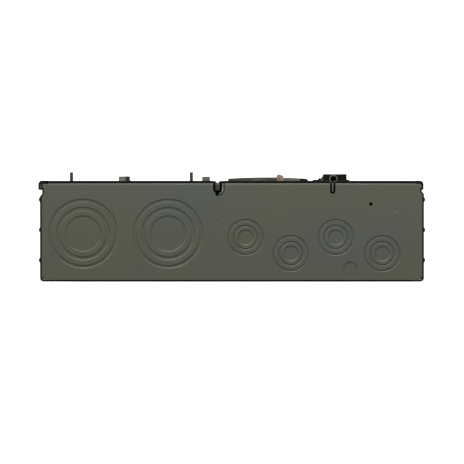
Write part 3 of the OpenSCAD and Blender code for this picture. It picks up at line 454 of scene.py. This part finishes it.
def bracket_plate():
    """Yellow-passivated steel with a pinkish, uneven tint."""
    material, tree, shader, place = start_material("bracket_plate")
    tint = graded(tree, noise(tree, place, 85.0, 4.0), 0.3, 0.7)
    colour = mixed(tree, tint, (0.40, 0.31, 0.30), (0.36, 0.32, 0.27))
    set_colour(tree, shader, colour)
    shader.inputs["Metallic"].default_value = 0.8
    set_roughness(tree, shader, graded(tree, tint, 0.0, 1.0, 0.32, 0.46))
    add_bump(tree, shader, noise(tree, place, 1500.0, 3.0), 0.12, 0.0002)
    return material


def end_lug_plate():
    """Pinkish passivated plate on the end lug, with painted shade where it turns down beside the bar."""
    material, tree, shader, place = start_material("end_lug_plate")
    tint = graded(tree, noise(tree, place, 140.0, 4.0), 0.3, 0.7)
    colour = mixed(tree, tint, (0.40, 0.31, 0.30), (0.34, 0.29, 0.27))
    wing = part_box("neutral_end_lug")[0].x + 3.6 * MM
    wing_shade = graded(tree, split(tree, place)[0], wing + 0.6 * MM, wing)
    # painted shade on the turned-down wing
    set_colour(tree, shader, mixed(tree, wing_shade, colour, (0.075, 0.062, 0.060)))
    shader.inputs["Metallic"].default_value = 0.7
    set_roughness(tree, shader, graded(tree, tint, 0.0, 1.0, 0.34, 0.5))
    add_bump(tree, shader, noise(tree, place, 1500.0, 3.0), 0.12, 0.0002)
    return material


def post_steel():
    """Plain drawn steel rod with turning marks and a dark mill skin."""
    material, tree, shader, place = start_material("post_steel")
    marks = noise(tree, stretched(tree, place, (500.0, 4200.0, 500.0)), 1.0, 3.0)
    skin = graded(tree, noise(tree, place, 240.0, 4.0), 0.35, 0.7)
    colour = mixed(tree, skin, (0.10, 0.10, 0.10), (0.05, 0.05, 0.048))
    set_colour(tree, shader, colour)
    shader.inputs["Metallic"].default_value = 0.35
    set_roughness(tree, shader, graded(tree, marks, 0.2, 0.8, 0.34, 0.52))
    add_bump(tree, shader, marks, 0.2, 0.0002)
    return material


def lug_alloy():
    """Dull cast aluminium of the main neutral lug, grey with an olive cast on one side."""
    material, tree, shader, place = start_material("lug_alloy")
    grain = graded(tree, noise(tree, place, 600.0, 4.0), 0.35, 0.68)
    low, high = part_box("neutral_lug")
    across = graded(tree, split(tree, place)[0], high.x, low.x)
    colour = mixed(tree, across, (0.30, 0.30, 0.30), (0.24, 0.215, 0.13))
    set_colour(tree, shader, mixed(tree, maths(tree, "MULTIPLY", grain, 0.5), colour, (0.07, 0.07, 0.06)))
    shader.inputs["Metallic"].default_value = 0.6
    set_roughness(tree, shader, graded(tree, grain, 0.0, 1.0, 0.45, 0.6))
    add_bump(tree, shader, grain, 0.2, 0.0002)
    return material


def case_side(tree, place, colour):
    """The breaker's side towards the end wall: painted lighter than the rest of the case, with a painted
    highlight patch, a beige moulded insert and a black outer end.
    """
    x, _, z = split(tree, place)
    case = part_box("pole_a_cover")
    side = graded(tree, z, case[1].z - 1.6 * MM, case[1].z - 1.2 * MM)
    out = case[0].x
    insert = maths(tree, "MULTIPLY", graded(tree, x, out + 24.6 * MM, out + 23.6 * MM),
                   graded(tree, x, out + 8.2 * MM, out + 8.8 * MM))
    patch = maths(tree, "MULTIPLY", graded(tree, x, out + 60 * MM, out + 50 * MM),
                  graded(tree, x, out + 40 * MM, out + 48 * MM))
    # painted light: the face towards the end wall lighter than the rest of the case
    colour = mixed(tree, side, colour, (0.088, 0.089, 0.080))
    # painted highlight: a bright patch on that face
    bright = maths(tree, "MULTIPLY", maths(tree, "MULTIPLY", side, patch), 0.6)
    colour = mixed(tree, bright, colour, (0.17, 0.175, 0.160))
    colour = mixed(tree, maths(tree, "MULTIPLY", side, insert), colour, (0.21, 0.19, 0.15))
    end = graded(tree, x, out + 8.6 * MM, out + 8.0 * MM)
    return mixed(tree, end, colour, (0.008, 0.008, 0.007))


def cover_side(tree, place, colour):
    """The lug housing: a worn olive shoulder on the side towards the breaker."""
    x = split(tree, place)[0]
    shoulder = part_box("neutral_lug_cover")[1].x - 10 * MM
    worn = maths(tree, "MULTIPLY", graded(tree, x, shoulder - 0.2 * MM, shoulder + 0.2 * MM),
                 graded(tree, x, shoulder + 3.4 * MM, shoulder + 2.8 * MM))
    return mixed(tree, worn, colour, (0.10, 0.10, 0.075))


def moulding(name, colour, fleck, gloss_low, gloss_high, zones=None, shine=0.5):
    """Moulded thermoset: filler flecks, flow clouds and a fine spark-eroded grain."""
    material, tree, shader, place = start_material(name)
    flow = graded(tree, noise(tree, place, 34.0, 4.0), 0.35, 0.68)
    flecks = graded(tree, noise(tree, place, 2100.0, 2.0, 0.6), 0.60, 0.72)
    base = mixed(tree, flow, shaded(colour, 0.8), shaded(colour, 1.25))
    if zones:
        base = zones(tree, place, base)
    set_colour(tree, shader, mixed(tree, maths(tree, "MULTIPLY", flecks, 0.5), base, fleck))
    set_roughness(tree, shader, graded(tree, noise(tree, place, 75.0, 4.0), 0.3, 0.7, gloss_low, gloss_high))
    shader.inputs["Specular IOR Level"].default_value = shine
    add_bump(tree, shader, noise(tree, place, 1700.0, 3.0), 0.18, 0.0003)
    return material


def green_enamel():
    """Green dye over plated steel, rubbed thin on the high spots."""
    material, tree, shader, place = start_material("green_screw")
    rubbed = graded(tree, noise(tree, place, 700.0, 4.0), 0.58, 0.72)
    set_colour(tree, shader, mixed(tree, rubbed, (0.012, 0.16, 0.045), (0.10, 0.26, 0.14)))
    shader.inputs["Metallic"].default_value = 0.55
    set_roughness(tree, shader, graded(tree, rubbed, 0.0, 1.0, 0.30, 0.42))
    add_bump(tree, shader, noise(tree, place, 2000.0, 2.0), 0.1, 0.0002)
    return material


FINISHES = {}


def finish_of(slot):
    """The material of one slot of the record, made when first asked for."""
    look = finish_settings()
    makers = {
        "olive_paint": enclosure_paint,
        "galvanised_steel": galvanised,
        "zinc_plate": bright_zinc,
        "tin_plate": tin_plate,
        "copper": bare_copper,
        "bracket_plate": bracket_plate,
        "post_steel": post_steel,
        "green_screw": green_enamel,
        "insulator_moulding": lambda: moulding("insulator_moulding", look.moulding,
                                               (0.05, 0.05, 0.055), 0.42, 0.56),
        "breaker_moulding": lambda: moulding("breaker_moulding", look.breaker,
                                             (0.10, 0.10, 0.10), 0.50, 0.62, case_side, 0.12),
        "lug_cover_moulding": lambda: moulding("lug_cover_moulding", shaded(look.moulding, 0.4),
                                               (0.03, 0.03, 0.025), 0.55, 0.68, cover_side, 0.15),
        "handle_moulding": lambda: moulding("handle_moulding", look.handle, (0.55, 0.45, 0.32), 0.38, 0.5),
        "dark_edge": dark_edge,
        "lug_alloy": lug_alloy,
        "end_lug_plate": end_lug_plate,
    }
    if slot not in FINISHES:
        FINISHES[slot] = makers[slot]()
    return FINISHES[slot]


# ---------------------------------------------------------------- mesh helpers

SLOT_OF = {s["node"]: s["material_slot"] for s in frame["record"]["subparts"]}


def dress(node, finish=None):
    """Gives a frame node its finish."""
    piece = NODES[node]
    piece.data.materials.clear()
    piece.data.materials.append(finish_of(finish or SLOT_OF[node]))
    return piece


def rounded(node, width, segments=2, finish=None):
    """Stands in for a node with the same shape, its sharp edges rounded."""
    source = NODES[node]
    mesh = source.data.copy()
    mesh.name = node + "_rounded"
    mesh.materials.clear()
    work = bmesh.new()
    work.from_mesh(mesh)
    bmesh.ops.remove_doubles(work, verts=work.verts, dist=1e-6)
    bmesh.ops.dissolve_limit(work, angle_limit=math.radians(0.5), verts=work.verts, edges=work.edges)
    for face in work.faces:
        face.smooth = True
    work.to_mesh(mesh)
    work.free()
    piece = bpy.data.objects.new(node + "_rounded", mesh)
    bpy.context.scene.collection.objects.link(piece)
    bevel = piece.modifiers.new("edges", "BEVEL")
    bevel.width = width
    bevel.segments = segments
    bevel.limit_method = "ANGLE"
    bevel.angle_limit = math.radians(35)
    bevel.use_clamp_overlap = True
    bevel.harden_normals = True
    flat = piece.modifiers.new("normals", "WEIGHTED_NORMAL")
    flat.keep_sharp = True
    mesh.materials.append(finish_of(finish or SLOT_OF[node]))
    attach(piece, source["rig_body"])
    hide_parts(node)
    return piece


def repaint(piece, finish, test):
    """Gives another finish to the faces whose centre and outward direction pass a test."""
    piece.data.materials.append(finish_of(finish))
    place = len(piece.data.materials) - 1
    for face in piece.data.polygons:
        if test(face.center, face.normal):
            face.material_index = place


# ---------------------------------------------------------------- operators


def on_front_bend(centre, out):
    """True on the rounded front edge of an end wall."""
    return centre.y < WALL_FRONT + 3.6 * MM and out.y < -0.22 and abs(out.z) > 0.05


def in_pilot_hole(centre, out):
    """True inside the small blind hole of an end wall."""
    across = math.copysign(PILOT_X, -centre.z)
    return math.hypot(centre.x - across, centre.y + PILOT_DEPTH) < 1.8 * MM


class LOADCENTER_OT_enclosure(bpy.types.Operator):
    """Paint the box, its end walls and the corner rivets"""

    bl_idname = "load_center.enclosure"
    bl_label = "Enclosure"

    def execute(self, context):
        wrap_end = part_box("box_wrap")[1].z - 0.5 * MM
        wrap = rounded("box_wrap", sizes().sheet_edge, 1)
        # painted shade on the cut end faces of the wrap
        repaint(wrap, "dark_edge", lambda centre, out: abs(centre.z) > wrap_end and abs(out.z) > 0.9)
        for node in ("top_end_wall", "bottom_end_wall"):
            wall = dress(node)
            # painted dark reflection on the front bend
            repaint(wall, "dark_edge", on_front_bend)
            # painted shade inside the pilot hole
            repaint(wall, "dark_edge", in_pilot_hole)
        # painted shade in the notch cups
        dress("notch_cups", "dark_edge")
        dress("corner_rivets")
        return {"FINISHED"}


class LOADCENTER_OT_interior(bpy.types.Operator):
    """Finish the pan, rails, insulator and bus bars"""

    bl_idname = "load_center.interior"
    bl_label = "Interior"

    def execute(self, context):
        for node in ("interior_pan", "breaker_rail_left", "breaker_rail_right"):
            rounded(node, sizes().sheet_edge, 1)
        rounded("bus_insulator", sizes().moulded_edge)
        for node in ("bus_bar_a", "bus_bar_b", "main_hold_down"):
            rounded(node, sizes().metal_edge)
        return {"FINISHED"}


class LOADCENTER_OT_neutral(bpy.types.Operator):
    """Finish the neutral bars, their supports, the strap and the main lug"""

    bl_idname = "load_center.neutral"
    bl_label = "Neutral"

    def execute(self, context):
        for node in ("neutral_bar_left", "neutral_bar_right", "neutral_cross_strap"):
            rounded(node, sizes().metal_edge)
        rounded("neutral_lug", sizes().metal_edge, 2, "lug_alloy")
        rounded("neutral_end_lug", sizes().metal_edge, 2, "end_lug_plate")
        for node in ("neutral_support_left", "neutral_support_right", "strap_insulator"):
            rounded(node, sizes().moulded_edge)
        rounded("neutral_lug_cover", sizes().metal_edge)
        return {"FINISHED"}


class LOADCENTER_OT_fasteners(bpy.types.Operator):
    """Finish the screws, bolts, rivets and cover posts"""

    bl_idname = "load_center.fasteners"
    bl_label = "Fasteners"

    def execute(self, context):
        for node in ("pan_screws", "bus_screws", "neutral_screws_left", "neutral_screws_right", "strap_bolts",
                     "bonding_screw", "hold_down_screw", "neutral_lug_screw", "end_lug_screw", "cover_posts",
                     "lug_screws"):
            rounded(node, sizes().metal_edge)
        dress("case_rivets")
        return {"FINISHED"}


class LOADCENTER_OT_breaker(bpy.types.Operator):
    """Finish the main breaker's case and the pieces inside it"""

    bl_idname = "load_center.breaker"
    bl_label = "Main breaker"

    def execute(self, context):
        for pole in "ab":
            for part in ("base", "cover"):
                rounded(f"pole_{pole}_{part}", sizes().moulded_edge, 3)
            for part in ("contact_arm", "line_jaw", "arc_chute", "bimetal"):
                dress(f"pole_{pole}_{part}")
            rounded(f"pole_{pole}_lug", sizes().metal_edge)
        dress("arm_springs")
        return {"FINISHED"}


class LOADCENTER_OT_handles(bpy.types.Operator):
    """Finish the breaker handles and the tie across them"""

    bl_idname = "load_center.handles"
    bl_label = "Handles"

    def execute(self, context):
        for node in ("pole_a_handle", "pole_b_handle", "handle_tie"):
            rounded(node, sizes().metal_edge, 3)
        return {"FINISHED"}


def pale_floor():
    """A plain pale floor under the bottom end wall."""
    half = 9.0
    level = CAD_LOW.z - 0.5 * MM
    mesh = bpy.data.meshes.new("floor")
    mesh.from_pydata([(-half, -half, level), (half, -half, level), (half, half, level), (-half, half, level)],
                     [], [(0, 1, 2, 3)])
    floor = bpy.data.objects.new("floor", mesh)
    bpy.context.scene.collection.objects.link(floor)
    material, tree, shader, place = start_material("pale_floor")
    mottle = graded(tree, noise(tree, place, 3.0, 3.0), 0.3, 0.7)
    set_colour(tree, shader, mixed(tree, mottle, (0.90, 0.90, 0.90), (0.93, 0.93, 0.93)))
    shader.inputs["Roughness"].default_value = 0.9
    shader.inputs["Emission Color"].default_value = (1, 1, 1, 1)
    shader.inputs["Emission Strength"].default_value = 1.0
    mesh.materials.append(material)


def soft_light(name, place, target, size, power):
    data = bpy.data.lights.new(name, "AREA")
    data.shape = "SQUARE"
    data.size = size
    data.energy = power
    lamp = bpy.data.objects.new(name, data)
    bpy.context.scene.collection.objects.link(lamp)
    lamp.location = place
    lamp.rotation_euler = (Vector(target) - Vector(place)).to_track_quat("-Z", "Y").to_euler()
    return lamp


class LOADCENTER_OT_stage(bpy.types.Operator):
    """Set the floor, the lights and the camera above the top end wall"""

    bl_idname = "load_center.stage"
    bl_label = "Stage"

    def execute(self, context):
        scene = context.scene
        stage = scene.load_center_stage
        scene.view_settings.view_transform = "Standard"
        pale_floor()
        end_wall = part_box("top_end_wall")[1].z
        mid_depth = (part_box("box_wrap")[0].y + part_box("box_wrap")[1].y) / 2
        centre = (0.0, mid_depth, end_wall)
        soft_light("key", KEY_PLACE, centre, KEY_SIZE, stage.key_power)
        soft_light("fill", FILL_PLACE, centre, FILL_SIZE, stage.fill_power)
        world = bpy.data.worlds.new("even_sky")
        world.use_nodes = True
        world.node_tree.nodes["Background"].inputs["Color"].default_value = (1, 1, 1, 1)
        world.node_tree.nodes["Background"].inputs["Strength"].default_value = stage.sky
        scene.world = world
        data = bpy.data.cameras.new("camera")
        data.sensor_width = 36.0
        data.lens = data.sensor_width * stage.camera_distance / stage.frame_width
        data.clip_end = 100
        camera = bpy.data.objects.new("camera", data)
        scene.collection.objects.link(camera)
        camera.location = (0.0, mid_depth + CAMERA_SHIFT, end_wall + stage.camera_distance)
        camera.rotation_euler = (0.0, 0.0, math.pi)
        scene.camera = camera
        return {"FINISHED"}


OPERATORS = (
    LOADCENTER_OT_enclosure,
    LOADCENTER_OT_interior,
    LOADCENTER_OT_neutral,
    LOADCENTER_OT_fasteners,
    LOADCENTER_OT_breaker,
    LOADCENTER_OT_handles,
    LOADCENTER_OT_stage,
)


class LOADCENTER_PT_panel(bpy.types.Panel):
    """Buttons for each group of pieces, with the settings they read"""

    bl_idname = "LOADCENTER_PT_panel"
    bl_label = "Load Center"
    bl_space_type = "VIEW_3D"
    bl_region_type = "UI"
    bl_category = "Load Center"

    def draw(self, context):
        for operator in OPERATORS:
            self.layout.operator(operator.bl_idname)
        for group in (context.scene.load_center_finish, context.scene.load_center_sizes,
                      context.scene.load_center_stage):
            for name in group.__annotations__:
                self.layout.prop(group, name)


SETTINGS = {
    "load_center_finish": LoadCenterFinish,
    "load_center_sizes": LoadCenterSizes,
    "load_center_stage": LoadCenterStage,
}


def register():
    for item in (*SETTINGS.values(), *OPERATORS, LOADCENTER_PT_panel):
        bpy.utils.register_class(item)
    for name, group in SETTINGS.items():
        setattr(bpy.types.Scene, name, bpy.props.PointerProperty(type=group))


def unregister():
    for name in SETTINGS:
        delattr(bpy.types.Scene, name)
    for item in reversed((*SETTINGS.values(), *OPERATORS, LOADCENTER_PT_panel)):
        bpy.utils.unregister_class(item)


def main():
    register()
    for operator in OPERATORS:
        group, name = operator.bl_idname.split(".")
        getattr(getattr(bpy.ops, group), name)()


if __name__ == "__main__":
    main()
